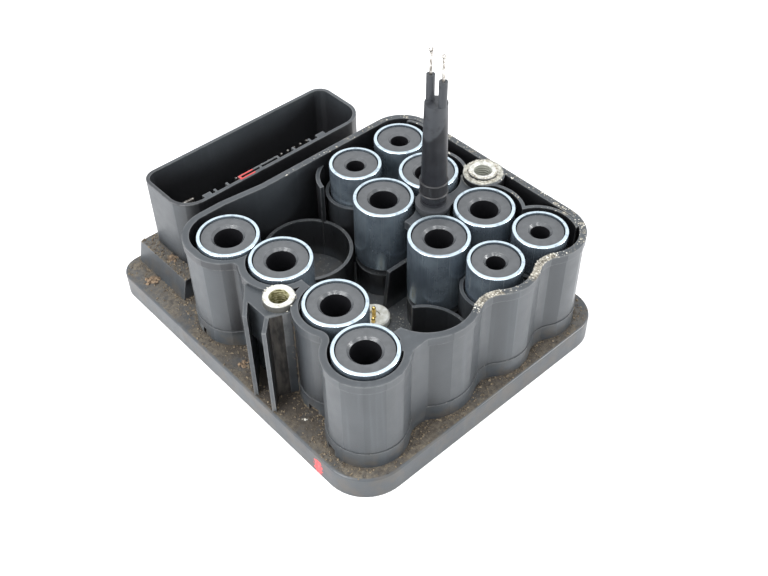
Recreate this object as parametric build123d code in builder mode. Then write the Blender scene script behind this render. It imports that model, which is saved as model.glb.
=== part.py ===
from build123d import *
from math import atan2, cos, radians, sin
import os

# Electronic module of an anti-lock brake unit, millimetres.
# The module stands on its base plate with the coils pointing up.
# Origin: centre of the base plate's underside. +Y points to the plug socket, +Z up.

# Base plate of the housing
plate_length = 112.4
plate_width = 93.4
plate_height = 7.5
plate_edge_radius = 0.7
corner_front_left = 12.5
corner_front_right = 10.0
corner_back = 6.4

# Bottom cover, let into the plate, and the space for the board above it
cover_thickness = 2.0
cover_margin = 3.0
cover_gap = 0.15
cover_corner = 8.0
board_space_height = 4.0
board_space_step = 2.0

# Coils: two sizes in rows that mirror about one line
mirror_y = -14.7
outer_row = 27.6
inner_row = 10.95
small_far_x = 30.2
small_near_x = 12.9
large_far_x = 26.05
large_near_x = 8.7
left_inner_x = -27.45
left_outer_x = -32.2
large_radius = 8.5
small_radius = 7.575
large_bore_radius = 3.95
small_bore_radius = 2.65
bore_lead_in = 0.7
coil_top = 40.2
coil_length = 20.2
coil_lean = 0.16
can_wall = 0.95
can_base = 1.0
face_recess = 0.5
face_gap = 0.3
bobbin_hub_wall = 0.9
bobbin_flange = 1.6
winding_gap = 0.05
winding_recess = 0.5
cushion_height = 2.2
cushion_width = 2.0
cushion_inset = 1.4

# Walls round the coils
wall_top = 39.35
wall = 1.6
coil_gap = 0.7
coil_clearance = 0.35
rim_height = 2.6
rim_proud = 0.35
foot_height = 5.5
foot_proud = 0.25
floor_height = 9.6
back_wall_y = 24.4
back_wall_left_y = 26.0
back_bend_left_x = -25.0
back_bend_right_x = -12.0
back_column_y = 13.6
back_column_radius = 10.4
right_wall_x = 43.0
right_back_corner = 10.5
bulge_wall_gap = 0.25
corner_disc_radius = 11.05
small_side_radius = 11.5
side_neck_radius = 2.0
front_neck_radius = 7.0
notch_x = -29.5
neck_fill = ((-26.5, -47.2), (-24.6, -45.0), (-20.2, -46.4), (-18.0, -49.6), (-24.0, -49.8))

# Thin wavy wall inside the straight right wall
wavy_wall = 1.0
wavy_small_radius = 11.0
wavy_large_radius = 11.5
wavy_start_x = 32.0

# Round wells left open for parts of the hydraulic block
well_x = -8.8
well_offset = 24.2
well_radius = 13.1
well_wall = 1.0
well_top = 22.8
well_cut_start = 62.0
well_cut_end = 172.0
cut_overlap = 0.01

# Collars and seats under the coils
collar_top = 30.4
collar_wall = 1.0
seat_inset = 0.3

# Fixing bushes and their bosses
bush_left_x = -36.2
bush_right_x = 37.6
bush_y = -14.2
bush_outer_radius = 4.2
bush_hole_radius = 2.6
bush_length = 13.3
bush_hole_depth = 12.0
bush_proud = 0.9
bush_fit = 0.03
bush_chamfer = 0.3
right_boss_radius = 6.0
boss_top = 38.2
boss_outer_x = -42.2
boss_back_y = -7.4
boss_front_y = -16.8
boss_core_x = -38.6
boss_toe = ((-38.6, -18.2), (-36.4, -19.2))
boss_block_bottom = 26.0
boss_back_step = 2.5
boss_front_step = 5.0
boss_neck_half = 3.2
rib_thickness = 1.1
rib_reach_x = 3.7
rib_back_reach_y = 5.2
rib_front_reach_y = 3.6

# Bridge between the inner coils, and the rib below it
bridge_top = 37.7
bridge_thickness = 2.6
bridge_start_x = 8.1
bridge_spread = 8.4
bridge_gap = 0.9
bridge_arm_half = 5.9
column_radius = 4.4
stalk_x = (large_near_x + large_far_x) / 2
gusset_top = 23.6
gusset_start_x = 1.1
gusset_slope = 1.7
gusset_thickness = 1.2
gusset_y = mirror_y + 0.8

# Curved post beside the small coil next to the back wall
post_inner_radius = 10.3
post_outer_radius = 11.5
post_start = 112.0
post_end = 168.0
post_top = 35.9

# Windows at the foot of the left columns
window_width = 3.4
window_height = 2.4
window_depth = 1.0
window_angles = {"09": 162, "10": 170, "11": 190, "12": 170}

# Plug socket
socket_centre_x = -0.2
socket_length = 68.0
socket_front_y = 31.6
socket_back_y = 53.4
socket_wall = 1.1
socket_back_corner = 4.5
socket_front_corner = 7.5
socket_top = 37.4
socket_foot = 14.45
block_length = 79.8
block_front_y = 30.4
block_back_y = 54.0
block_slope = 1.7
key_depth = 1.4
key_height = 16.0
keys = {-24.6: 2.6, -21.8: 0.7, -17.6: 0.7, 6.6: 0.7, 12.7: 0.7, 16.9: 3.0}
latch_posts = (-13.2, -5.9, 0.6)
latch_post_width = 0.7
latch_bar = 0.55
latch_gap = 0.85
latch_height = 3.0

# Motor stalk
stalk_flange_radius = 5.0
stalk_flange_height = 2.7
stalk_flange_foot_radius = 4.3
stalk_foot_radius = 3.6
stalk_top_radius = 3.1
stalk_shoulder = 72.9
stalk_spigot_radius = 2.6
stalk_spigot_length = 8.0
stalk_spigot_fit = 0.05
stalk_groove_bottom = 41.7
stalk_groove_top = 43.2
stalk_groove_depth = 0.35
seal_bottom = 44.1
seal_top = 48.4
seal_radius = 4.05
seal_lip = 0.5
seal_waist = 0.22
sleeve_radius = 1.15
sleeve_length = 7.3
sleeve_spacing = 4.5
motor_pin_radius = 0.4
motor_pin_bulb_radius = 0.62
motor_pin_free_length = 7.6
motor_pin_depth = 12.0
motor_pin_fit = 0.03

# Pressure sensor contacts
sensor_x = -5.5
sensor_y = -15.0
carrier_radius = 4.6
carrier_height = 2.2
carrier_well_radius = 1.8
carrier_well_depth = 0.8
contact_radius = 0.6
contact_guide_fit = 0.05
contact_foot_radius = 0.85
contact_foot_fit = 0.1
contact_foot_height = 0.4
contact_shoulder = 0.8
contact_top = 15.0
front_contact_drop = 1.5
contact_offset_x = 1.9
contact_offset_y = 1.9
spring_pocket_bottom = 7.2

# Board and what it carries
board_thickness = 1.6
board_margin = 0.6
board_seat = 0.4
board_pad_radius = 2.5
board_pad_margin = 11.0
chip_size = 14.0
chip_height = 1.3
chip_corner = 0.6
driver_length = 18.0
driver_width = 12.0
driver_height = 1.5
capacitor_radius = 2.4
capacitor_height = 1.7
capacitor_offset_y = 12.0

# Plug terminals
pin_side = 0.64
pin_top = 25.0
pin_pitch_x = 2.54
pin_pitch_y = 3.4
pin_columns = 12
pin_rows = 4
pin_field_x = 8.0
blade_width = 4.8
blade_thickness = 0.8
blade_top = 27.0
blade_x = -24.5
blade_pitch = 8.0

# Worked out from the sizes above
row_y = {"back": mirror_y + outer_row, "inner back": mirror_y + inner_row,
         "inner front": mirror_y - inner_row, "front": mirror_y - outer_row}
small_coils = {
    "01": (small_far_x, row_y["back"]),
    "02": (small_near_x, row_y["back"]),
    "07": (small_far_x, row_y["front"]),
    "08": (small_near_x, row_y["front"]),
}
large_coils = {
    "03": (large_far_x, row_y["inner back"]),
    "04": (large_near_x, row_y["inner back"]),
    "05": (large_far_x, row_y["inner front"]),
    "06": (large_near_x, row_y["inner front"]),
    "09": (left_outer_x, row_y["back"]),
    "10": (left_inner_x, row_y["inner back"]),
    "11": (left_inner_x, row_y["inner front"]),
    "12": (left_outer_x, row_y["front"]),
}
coil_bottom = coil_top - coil_length
seat_top = coil_bottom - cushion_height
column_wall_radius = large_radius + coil_gap + wall
well_back = (well_x, mirror_y + well_offset)
well_front = (well_x, mirror_y - well_offset)
bulge_radius = well_radius - well_wall + wall + bulge_wall_gap
inside_x = right_wall_x - wall
board_bottom = cover_thickness + board_seat
board_top = board_bottom + board_thickness
socket_width = socket_back_y - socket_front_y
socket_centre_y = (socket_back_y + socket_front_y) / 2
block_width = block_back_y - block_front_y
key_face_y = socket_front_y + socket_wall

os.makedirs("parts", exist_ok=True)


def save(name, part):
    part.label = name
    export_step(part, f"parts/{name}.step")


# Outlines shared by several pieces

def plate_outline(height, inset=0.0):
    """Base plate seen from above, with its unequal corners."""
    with BuildSketch(Plane.XY.offset(height)) as outline:
        Rectangle(plate_width, plate_length)
        front = outline.vertices().group_by(Axis.Y)[0].sort_by(Axis.X)
        fillet(front[0], corner_front_left)
        fillet(outline.vertices().group_by(Axis.Y)[0].sort_by(Axis.X)[-1], corner_front_right)
        fillet(outline.vertices().group_by(Axis.Y)[-1], corner_back)
        if inset:
            offset(amount=-inset)
    return outline.sketch


def inner_plate_outline(height, inset):
    """Rounded rectangle that follows the plate at an even distance."""
    with BuildSketch(Plane.XY.offset(height)) as outline:
        RectangleRounded(plate_width - 2 * inset, plate_length - 2 * inset, cover_corner)
    return outline.sketch


def wall_outline(height, grow=0.0):
    """Outside of the wall: round columns on the left and front, straight at the back and right."""
    corner_x = right_wall_x - corner_disc_radius
    corner_y = back_wall_left_y - back_column_radius
    with BuildSketch(Plane.XY.offset(height)) as outline:
        with Locations(*[large_coils[name] for name in ("10", "11", "12")]):
            Circle(column_wall_radius + grow)
        with Locations((left_outer_x, back_column_y), (left_outer_x, corner_y)):
            Circle(back_column_radius + grow)
        with Locations(well_front):
            Circle(bulge_radius + grow)
        with Locations(small_coils["08"]):
            Circle(small_side_radius + grow)
        with Locations((corner_x, row_y["front"])):
            Circle(corner_disc_radius + grow)
        with BuildLine():
            Polyline(
                (back_bend_right_x, back_wall_y + grow),
                (back_bend_left_x, back_wall_left_y + grow),
                (left_outer_x, back_wall_left_y + grow),
                (left_outer_x, row_y["back"]),
                (notch_x - grow, row_y["inner back"]),
                (notch_x - grow, row_y["inner front"]),
                (left_outer_x, row_y["front"]),
                (right_wall_x + grow, row_y["front"]),
                (right_wall_x + grow, back_wall_y + grow),
                close=True,
            )
        make_face()
        back_right = outline.vertices().sort_by(Axis((0, 0, 0), (1, 1, 0)))[-1]
        fillet(back_right, right_back_corner + grow)
        fillet([v for v in outline.vertices() if is_side_neck(v)], side_neck_radius - grow)
        fillet([v for v in outline.vertices() if is_front_neck(v)], front_neck_radius - grow)
    return outline.sketch


def is_side_neck(vertex):
    """True where two round columns meet in a groove on the left side."""
    beside_boss = abs(vertex.Y - mirror_y) > inner_row
    return vertex.X < left_outer_x and beside_boss and row_y["front"] < vertex.Y < row_y["back"] - 1


def is_front_neck(vertex):
    """True where two round columns meet in a groove on the front side."""
    return vertex.Y < row_y["front"] and vertex.X > left_outer_x


def ring(height, centre, outer, thickness):
    with BuildSketch(Plane.XY.offset(height)) as outline:
        with Locations(centre):
            Circle(outer)
            Circle(outer - thickness, mode=Mode.SUBTRACT)
    return outline.sketch


def sector(height, centre, reach, start, end):
    """Pie slice round a centre, between two angles in degrees."""
    steps = [start + (end - start) * i / 4 for i in range(5)]
    points = [centre] + [(centre[0] + reach * cos(radians(a)), centre[1] + reach * sin(radians(a)))
                         for a in steps]
    with BuildSketch(Plane.XY.offset(height)) as outline:
        with BuildLine():
            Polyline(*points, close=True)
        make_face()
    return outline.sketch


def wavy_outline(height):
    """Thin wall that follows the four coils beside the straight right wall."""
    with BuildSketch(Plane.XY.offset(height)) as outline:
        with Locations(small_coils["01"], small_coils["07"]):
            Circle(wavy_small_radius)
        with Locations(large_coils["03"], large_coils["05"]):
            Circle(wavy_large_radius)
        with Locations(small_coils["01"], small_coils["07"]):
            Circle(wavy_small_radius - wavy_wall, mode=Mode.SUBTRACT)
        with Locations(large_coils["03"], large_coils["05"]):
            Circle(wavy_large_radius - wavy_wall, mode=Mode.SUBTRACT)
        with Locations(((wavy_start_x + inside_x) / 2 + wall / 2, mirror_y)):
            Rectangle(inside_x - wavy_start_x + wall, 2 * outer_row + corner_disc_radius, mode=Mode.INTERSECT)
    return outline.sketch


def bridge_outline(height):
    """Web that fills the space left between the four inner coils and runs to the right boss."""
    with BuildSketch(Plane.XY.offset(height)) as outline:
        with Locations(((bridge_start_x + bush_right_x) / 2, mirror_y)):
            Rectangle(bush_right_x - bridge_start_x, 2 * bridge_spread)
        with Locations(*[large_coils[name] for name in ("03", "04", "05", "06")]):
            Circle(large_radius + bridge_gap, mode=Mode.SUBTRACT)
        with Locations((bush_right_x, row_y["inner back"]), (bush_right_x, row_y["inner front"])):
            Rectangle(2 * inner_row, 2 * bridge_arm_half, mode=Mode.SUBTRACT)
    return outline.sketch


def boss_outline(height, outer_points):
    """Left boss between its two columns, closed on the outside by the given points."""
    with BuildSketch(Plane.XY.offset(height)) as outline:
        with BuildLine():
            Polyline(
                (notch_x, mirror_y + boss_neck_half),
                (left_inner_x - large_radius, row_y["inner back"] + boss_back_step),
                *outer_points,
                (left_inner_x - large_radius, row_y["inner front"] + boss_front_step),
                (notch_x, mirror_y - boss_neck_half),
                close=True,
            )
        make_face()
    return outline.sketch


def slanted_rib(height, start, end):
    """Upright plate between two points seen from above."""
    run = atan2(end[1] - start[1], end[0] - start[0])
    side = (-sin(run) * rib_thickness / 2, cos(run) * rib_thickness / 2)
    with BuildSketch(Plane.XY.offset(height)) as outline:
        with BuildLine():
            Polyline(
                (start[0] + side[0], start[1] + side[1]),
                (end[0] + side[0], end[1] + side[1]),
                (end[0] - side[0], end[1] - side[1]),
                (start[0] - side[0], start[1] - side[1]),
                close=True,
            )
        make_face()
    return outline.sketch


def socket_outline(height, inset=0.0):
    """Plug socket seen from above: tighter corners at the back than at the front."""
    with BuildSketch(Plane.XY.offset(height)) as outline:
        with Locations((socket_centre_x, socket_centre_y)):
            Rectangle(socket_length, socket_width)
        fillet(outline.vertices().group_by(Axis.Y)[0], socket_front_corner)
        fillet(outline.vertices().group_by(Axis.Y)[-1], socket_back_corner)
        if inset:
            offset(amount=-inset)
    return outline.sketch


# Housing: one moulding with base plate, coil walls, wells, bosses, bridge and plug socket
with BuildPart() as housing:
    extrude(plate_outline(0), amount=plate_height)
    fillet(housing.faces().sort_by(Axis.Z)[-1].edges(), plate_edge_radius)

    # outer wall with its foot step and its rim band
    foot_top = plate_height + foot_height
    rim_bottom = wall_top - rim_height
    extrude(wall_outline(plate_height, foot_proud), amount=foot_height)
    extrude(wall_outline(foot_top), amount=rim_bottom - foot_top)
    extrude(wall_outline(rim_bottom, rim_proud), amount=rim_height)
    extrude(wall_outline(floor_height, -wall), amount=wall_top - floor_height, mode=Mode.SUBTRACT)
    with BuildSketch(Plane.XY.offset(floor_height)):
        with BuildLine():
            Polyline(*neck_fill, close=True)
        make_face()
    extrude(amount=wall_top - floor_height)

    # thin inner wall, wells, collars, seats
    extrude(wavy_outline(floor_height), amount=wall_top - floor_height)
    extrude(ring(floor_height, well_back, well_radius, well_wall), amount=well_top - floor_height)
    extrude(ring(floor_height, well_front, well_radius, well_wall), amount=well_top - floor_height)
    for centre in small_coils.values():
        collar_radius = small_radius + coil_clearance + collar_wall
        extrude(ring(floor_height, centre, collar_radius, collar_wall), amount=collar_top - floor_height)
    with BuildSketch(Plane.XY.offset(floor_height)):
        with Locations(*large_coils.values()):
            Circle(large_radius - seat_inset)
        with Locations(*small_coils.values()):
            Circle(small_radius - seat_inset)
    extrude(amount=seat_top - floor_height)

    # bridge with its column and the tall rib below
    extrude(bridge_outline(bridge_top - bridge_thickness), amount=bridge_thickness)
    with BuildSketch(Plane.XY.offset(floor_height)):
        with Locations((stalk_x, mirror_y)):
            Circle(column_radius)
    extrude(amount=bridge_top - floor_height)
    with BuildSketch(Plane.XZ.offset(-gusset_y)):
        with BuildLine():
            Polyline(
                (gusset_start_x - gusset_slope, floor_height),
                (gusset_start_x, gusset_top),
                (stalk_x, gusset_top),
                (stalk_x, floor_height),
                close=True,
            )
        make_face()
    extrude(amount=gusset_thickness / 2, both=True)

    # right boss
    with BuildSketch(Plane.XY.offset(floor_height)):
        with Locations((bush_right_x, mirror_y)):
            Circle(right_boss_radius)
        with Locations(((bush_right_x + inside_x) / 2, mirror_y)):
            Rectangle(inside_x - bush_right_x + wall, 2 * bush_outer_radius)
    extrude(amount=wall_top - floor_height)

    # curved post
    post_height = post_top - floor_height
    post_ring = ring(floor_height, small_coils["02"], post_outer_radius, post_outer_radius - post_inner_radius)
    post_slice = sector(floor_height, small_coils["02"], 2 * post_outer_radius, post_start, post_end)
    extrude(post_ring & post_slice, amount=post_height)

    # left boss: heart, roof and the two slanted ribs
    core_points = ((boss_core_x, row_y["inner back"]), *boss_toe)
    roof_points = ((boss_outer_x, boss_back_y), (boss_outer_x, boss_front_y), *boss_toe)
    extrude(boss_outline(plate_height, core_points), amount=boss_top - plate_height)
    extrude(boss_outline(boss_block_bottom, roof_points), amount=boss_top - boss_block_bottom)
    back_rib = (boss_outer_x - rib_reach_x, boss_back_y - rib_back_reach_y)
    front_rib = (boss_outer_x - rib_reach_x, boss_front_y - rib_front_reach_y)
    extrude(slanted_rib(plate_height, (boss_core_x, row_y["inner back"]), back_rib),
            amount=boss_top - plate_height)
    extrude(slanted_rib(plate_height, (boss_core_x, boss_front_y + rib_front_reach_y), front_rib),
            amount=boss_top - plate_height)

    # plug socket on its block, whose ends slope inwards
    with BuildSketch(Plane.XZ.offset(-block_back_y)):
        with BuildLine():
            Polyline(
                (-block_length / 2, plate_height),
                (block_slope - block_length / 2, socket_foot),
                (block_length / 2 - block_slope, socket_foot),
                (block_length / 2, plate_height),
                close=True,
            )
        make_face()
    extrude(amount=block_width)
    extrude(socket_outline(socket_foot), amount=socket_top - socket_foot)
    extrude(socket_outline(socket_foot, socket_wall), amount=socket_top - socket_foot, mode=Mode.SUBTRACT)

    # keys and latch frame on the inner face of the socket
    for x, width in keys.items():
        with BuildSketch(Plane.XY.offset(socket_top - key_height)):
            with Locations((x, key_face_y + key_depth / 2)):
                Rectangle(width, key_depth)
        extrude(amount=key_height)
    with BuildSketch(Plane.XY.offset(socket_top - latch_height)):
        for x in latch_posts:
            with Locations((x, key_face_y + (latch_gap + latch_bar) / 2)):
                Rectangle(latch_post_width, latch_gap + latch_bar)
        with Locations(((latch_posts[0] + latch_posts[-1]) / 2, key_face_y + latch_gap + latch_bar / 2)):
            Rectangle(latch_posts[-1] - latch_posts[0], latch_bar)
    extrude(amount=latch_height)

    # room for the moving coils above their seats
    with BuildSketch(Plane.XY.offset(seat_top)):
        with Locations(*large_coils.values()):
            Circle(large_radius + coil_clearance)
        with Locations(*small_coils.values()):
            Circle(small_radius + coil_clearance)
    extrude(amount=wall_top - seat_top + rim_height, mode=Mode.SUBTRACT)

    # open side of the front well
    cut_ring = ring(floor_height, well_front, well_radius + cut_overlap, well_wall + 2 * cut_overlap)
    cut_slice = sector(floor_height, well_front, 2 * well_radius, well_cut_start, well_cut_end)
    extrude(cut_ring & cut_slice, amount=well_top - floor_height, mode=Mode.SUBTRACT)

    # holes for the bushes, the stalk and the sensor springs
    with Locations((bush_left_x, bush_y, wall_top), (bush_right_x, bush_y, wall_top)):
        Hole(bush_outer_radius + bush_fit, depth=bush_length)
    with BuildSketch(Plane.XY.offset(boss_top)):
        with Locations((bush_left_x, bush_y)):
            Circle(bush_outer_radius + bush_fit)
    extrude(amount=wall_top - boss_top, mode=Mode.SUBTRACT)
    with Locations((stalk_x, mirror_y, bridge_top)):
        Hole(stalk_spigot_radius + stalk_spigot_fit, depth=stalk_spigot_length)
    with Locations((sensor_x, sensor_y, floor_height),
                   (sensor_x - contact_offset_x, sensor_y - contact_offset_y, floor_height)):
        Hole(contact_foot_radius + contact_foot_fit, depth=floor_height - spring_pocket_bottom)

    # windows at the foot of the left columns
    for name, angle in window_angles.items():
        centre = large_coils[name]
        reach = column_wall_radius + foot_proud - window_depth / 2
        spot = (centre[0] + reach * cos(radians(angle)), centre[1] + reach * sin(radians(angle)),
                plate_height + window_height / 2)
        with Locations(Location(spot, (0, 0, angle))):
            Box(window_depth, window_width, window_height, mode=Mode.SUBTRACT)

    # recess for the cover and space for the board, both open below
    extrude(inner_plate_outline(0, cover_margin), amount=cover_thickness, mode=Mode.SUBTRACT)
    extrude(inner_plate_outline(cover_thickness, cover_margin + board_space_step),
            amount=board_space_height, mode=Mode.SUBTRACT)

save("housing", housing.part)

# Bottom cover: a flat plate with low pads that carry the board
pad_inset = cover_margin + board_pad_margin
pad_spots = GridLocations(plate_width - 2 * pad_inset, plate_length / 2 - pad_inset, 2, 3)
with BuildPart() as bottom_cover:
    with BuildSketch():
        RectangleRounded(plate_width - 2 * (cover_margin + cover_gap),
                         plate_length - 2 * (cover_margin + cover_gap), cover_corner - cover_gap)
    extrude(amount=cover_thickness)
    with BuildSketch(Plane.XY.offset(cover_thickness)):
        with Locations(*pad_spots.locations):
            Circle(board_pad_radius)
    extrude(amount=board_seat)

save("bottom_cover", bottom_cover.part)

# Circuit board on the pads
board_inset = cover_margin + board_space_step + board_margin
with BuildPart() as circuit_board:
    with BuildSketch(Plane.XY.offset(board_bottom)):
        RectangleRounded(plate_width - 2 * board_inset, plate_length - 2 * board_inset, cover_corner)
    extrude(amount=board_thickness)

save("circuit_board", circuit_board.part)

with BuildPart() as microcontroller:
    with BuildSketch(Plane.XY.offset(board_top)):
        with Locations((well_x, well_back[1])):
            RectangleRounded(chip_size, chip_size, chip_corner)
    extrude(amount=chip_height)

save("microcontroller", microcontroller.part)

with BuildPart() as valve_driver:
    with BuildSketch(Plane.XY.offset(board_top)):
        with Locations((well_x, well_front[1])):
            RectangleRounded(driver_length, driver_width, chip_corner)
    extrude(amount=driver_height)

save("valve_driver", valve_driver.part)

with BuildPart() as board_capacitors:
    with BuildSketch(Plane.XY.offset(board_top)):
        with Locations((socket_centre_x, socket_front_y - capacitor_offset_y)):
            with GridLocations(3 * capacitor_radius, 0, 4, 1):
                Circle(capacitor_radius)
    extrude(amount=capacitor_height)

save("board_capacitors", board_capacitors.part)

# Fixing bushes, let into the housing with their faces just proud
def make_bush(x):
    with BuildPart() as bush:
        with BuildSketch(Plane.XY.offset(wall_top - bush_length)):
            with Locations((x, bush_y)):
                Circle(bush_outer_radius)
        extrude(amount=bush_length + bush_proud)
        with Locations((x, bush_y, wall_top + bush_proud)):
            Hole(bush_hole_radius, depth=bush_hole_depth)
        rims = bush.faces().sort_by(Axis.Z)[-1].edges()
        chamfer(rims, bush_chamfer)
    return bush.part


save("bush_left", make_bush(bush_left_x))
save("bush_right", make_bush(bush_right_x))


# Coils: steel can, bobbin with its bore, copper winding between the flanges
def make_can(centre, radius):
    with BuildPart() as can:
        with BuildSketch(Plane.XY.offset(coil_bottom)):
            with Locations(centre):
                Circle(radius)
        extrude(amount=coil_length)
        with Locations((*centre, coil_top)):
            Hole(radius - can_wall, depth=coil_length - can_base)
        outer_rim = can.edges().filter_by(GeomType.CIRCLE).sort_by(Axis.Z)[-2:].sort_by(SortBy.RADIUS)[-1]
        fillet(outer_rim, can_wall / 3)
    return can.part


def make_bobbin(centre, radius, bore):
    face_radius = radius - can_wall - face_gap
    hub_radius = bore + bobbin_hub_wall
    bottom = coil_bottom + can_base
    top = coil_top - face_recess
    with BuildPart() as bobbin:
        with BuildSketch(Plane.XZ) as half:
            with BuildLine():
                Polyline(
                    (bore, bottom),
                    (face_radius, bottom),
                    (face_radius, bottom + bobbin_flange),
                    (hub_radius, bottom + bobbin_flange),
                    (hub_radius, top - bobbin_flange),
                    (face_radius, top - bobbin_flange),
                    (face_radius, top),
                    (bore + bore_lead_in, top),
                    (bore, top - bore_lead_in),
                    close=True,
                )
            make_face()
        revolve(axis=Axis.Z)
    return bobbin.part.moved(Location((centre[0], centre[1], 0)))


def make_winding(centre, radius, bore):
    bottom = coil_bottom + can_base + bobbin_flange
    height = coil_length - can_base - face_recess - 2 * bobbin_flange
    with BuildPart() as winding:
        with BuildSketch(Plane.XY.offset(bottom)):
            with Locations(centre):
                Circle(radius - can_wall - winding_recess)
                Circle(bore + bobbin_hub_wall + winding_gap, mode=Mode.SUBTRACT)
        extrude(amount=height)
    return winding.part


# each coil lies loose in its room and leans a little to the right
coil_sizes = [(name, (x + coil_lean, y), large_radius, large_bore_radius) for name, (x, y) in large_coils.items()]
coil_sizes += [(name, (x + coil_lean, y), small_radius, small_bore_radius) for name, (x, y) in small_coils.items()]
for name, centre, radius, bore in sorted(coil_sizes):
    save(f"coil_can_{name}", make_can(centre, radius))
    save(f"coil_bobbin_{name}", make_bobbin(centre, radius, bore))
    save(f"coil_winding_{name}", make_winding(centre, radius, bore))

# Rubber cushions under the coils, one ring on each seat
with BuildPart() as coil_cushions:
    for name, centre, radius, bore in coil_sizes:
        outer = radius - cushion_inset
        extrude(ring(seat_top, centre, outer, cushion_width), amount=cushion_height)

save("coil_cushions", coil_cushions.part)

# Motor stalk: flange on the bridge, tapered rod with grooves, two sleeves for the pins
flange_top = bridge_top + stalk_flange_height
stalk_plane = Plane(origin=(stalk_x, mirror_y, 0), x_dir=(1, 0, 0), z_dir=(0, -1, 0))
with BuildPart() as motor_stalk:
    with BuildSketch(stalk_plane):
        with BuildLine():
            Polyline(
                (0, bridge_top - stalk_spigot_length),
                (stalk_spigot_radius, bridge_top - stalk_spigot_length),
                (stalk_spigot_radius, bridge_top),
                (stalk_flange_foot_radius, bridge_top),
                (stalk_flange_radius, flange_top - stalk_flange_height / 2),
                (stalk_flange_radius, flange_top),
                (stalk_foot_radius, flange_top),
                (stalk_foot_radius, stalk_groove_bottom),
                (stalk_foot_radius - stalk_groove_depth, stalk_groove_bottom),
                (stalk_foot_radius - stalk_groove_depth, stalk_groove_top),
                (stalk_foot_radius, stalk_groove_top),
                (stalk_foot_radius, seal_bottom),
                (stalk_foot_radius - stalk_groove_depth, seal_bottom),
                (stalk_foot_radius - stalk_groove_depth, seal_top),
                (stalk_foot_radius, seal_top),
                (stalk_top_radius, stalk_shoulder),
                (0, stalk_shoulder),
                close=True,
            )
        make_face()
    revolve(axis=Axis((stalk_x, mirror_y, 0), (0, 0, 1)))
    with BuildSketch(Plane.XY.offset(stalk_shoulder)):
        with Locations((stalk_x, mirror_y)):
            with GridLocations(0, sleeve_spacing, 1, 2):
                Circle(sleeve_radius)
    extrude(amount=sleeve_length)
    with Locations((stalk_x, mirror_y, stalk_shoulder + sleeve_length)):
        with GridLocations(0, sleeve_spacing, 1, 2):
            Hole(motor_pin_radius + motor_pin_fit, depth=motor_pin_depth)

save("motor_stalk", motor_stalk.part)

# Rubber seal round the foot of the stalk, with two lips
seal_inner = stalk_foot_radius - stalk_groove_depth
with BuildPart() as stalk_seal:
    with BuildSketch(stalk_plane):
        with BuildLine():
            Polyline(
                (seal_inner, seal_bottom),
                (seal_radius - seal_lip / 2, seal_bottom),
                (seal_radius, seal_bottom + seal_lip / 2),
                (seal_radius - seal_waist, seal_bottom + seal_lip),
                (seal_radius - seal_waist, seal_top - seal_lip),
                (seal_radius, seal_top - seal_lip / 2),
                (seal_radius - seal_lip / 2, seal_top),
                (seal_inner, seal_top),
                close=True,
            )
        make_face()
    revolve(axis=Axis((stalk_x, mirror_y, 0), (0, 0, 1)))

save("stalk_seal", stalk_seal.part)


def make_motor_pin(y):
    bottom = stalk_shoulder + sleeve_length - motor_pin_depth
    tip = stalk_shoulder + sleeve_length + motor_pin_free_length
    bulb_centre = tip - motor_pin_bulb_radius
    with BuildPart() as pin:
        with BuildSketch(Plane.XY.offset(bottom)):
            with Locations((stalk_x, y)):
                Circle(motor_pin_radius)
        extrude(amount=bulb_centre - bottom)
        with Locations((stalk_x, y, bulb_centre)):
            Sphere(motor_pin_bulb_radius)
    return pin.part


save("motor_pin_back", make_motor_pin(mirror_y + sleeve_spacing / 2))
save("motor_pin_front", make_motor_pin(mirror_y - sleeve_spacing / 2))

# Carrier of the sensor contacts: a round block on the floor with two guide holes
contact_spots = {
    "tall": (sensor_x, sensor_y),
    "front": (sensor_x - contact_offset_x, sensor_y - contact_offset_y),
}
foot_space = contact_foot_radius + contact_foot_fit
with BuildPart() as sensor_carrier:
    with BuildSketch(Plane.XY.offset(floor_height)):
        with Locations((sensor_x, sensor_y)):
            Circle(carrier_radius)
    extrude(amount=carrier_height)
    chamfer(sensor_carrier.faces().sort_by(Axis.Z)[-1].edges(), carrier_well_depth / 2)
    with Locations((sensor_x, sensor_y, floor_height + carrier_height)):
        Hole(carrier_well_radius, depth=carrier_well_depth)
    with Locations(*[(*spot, floor_height + carrier_height) for spot in contact_spots.values()]):
        Hole(contact_radius + contact_guide_fit, depth=carrier_height)
    with BuildSketch(Plane.XY.offset(floor_height)):
        with Locations(*contact_spots.values()):
            Circle(foot_space)
    extrude(amount=contact_shoulder, mode=Mode.SUBTRACT)

save("sensor_carrier", sensor_carrier.part)


def make_contact(spot, top):
    shoulder = floor_height + contact_shoulder
    with BuildPart() as contact:
        with BuildSketch(Plane.XY.offset(shoulder - contact_foot_height)):
            with Locations(spot):
                Circle(contact_foot_radius)
        extrude(amount=contact_foot_height)
        with BuildSketch(Plane.XY.offset(shoulder)):
            with Locations(spot):
                Circle(contact_radius)
        extrude(amount=top - contact_radius - shoulder)
        with Locations((*spot, top - contact_radius)):
            Sphere(contact_radius)
    return contact.part


save("sensor_contact_tall", make_contact(contact_spots["tall"], contact_top))
save("sensor_contact_front", make_contact(contact_spots["front"], contact_top - front_contact_drop))

# Plug terminals, moulded into the socket block and standing on the board
with BuildPart() as connector_pins:
    with BuildSketch(Plane.XY.offset(board_top)):
        with Locations((pin_field_x, socket_centre_y)):
            with GridLocations(pin_pitch_x, pin_pitch_y, pin_columns, pin_rows):
                Rectangle(pin_side, pin_side)
    extrude(amount=pin_top - board_top)
    chamfer(connector_pins.faces().group_by(Axis.Z)[-1].edges(), pin_side / 4)

save("connector_pins", connector_pins.part)

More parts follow.
